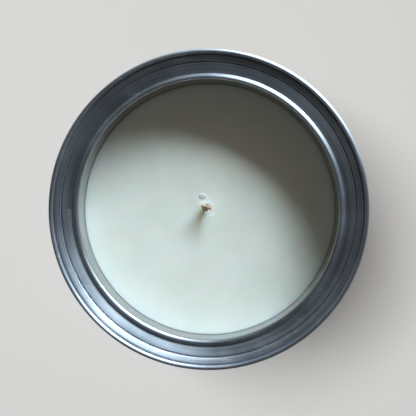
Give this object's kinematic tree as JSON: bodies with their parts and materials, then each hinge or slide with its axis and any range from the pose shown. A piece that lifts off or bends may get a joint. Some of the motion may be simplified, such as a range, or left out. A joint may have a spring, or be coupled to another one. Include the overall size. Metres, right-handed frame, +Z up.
{
  "type": "candle tin",
  "caption": "Round lever-lid tin, open, filled with pale poured wax around a short braided wick.",
  "frame": {"origin": "centre of the circle on which the tin's bottom seam stands", "axes": "+Z up along the tin's axis, +Y away from the front towards the welded side seam"},
  "size_m": [0.086, 0.086, 0.098],
  "materials": {
    "tinplate": "dull bright tinplate",
    "tinplate_ring": "dull tinplate with fine marks round the ring",
    "seam_compound": "dull",
    "sticker": "foam adhesive pad",
    "sustainer_steel": "tinned steel",
    "wick_cotton": "waxed braided cotton",
    "wax": "smooth pale wax, faintly mottled"
  },
  "bodies": {
    "root": {"body_wall": "tinplate", "top_ring": "tinplate_ring", "bottom_end": "tinplate", "top_seam_compound": "seam_compound", "bottom_seam_compound": "seam_compound", "sustainer_sticker": "sticker", "wick_sustainer": "sustainer_steel", "wick": "wick_cotton", "wax_fill": "wax"}
  },
  "joints": []
}
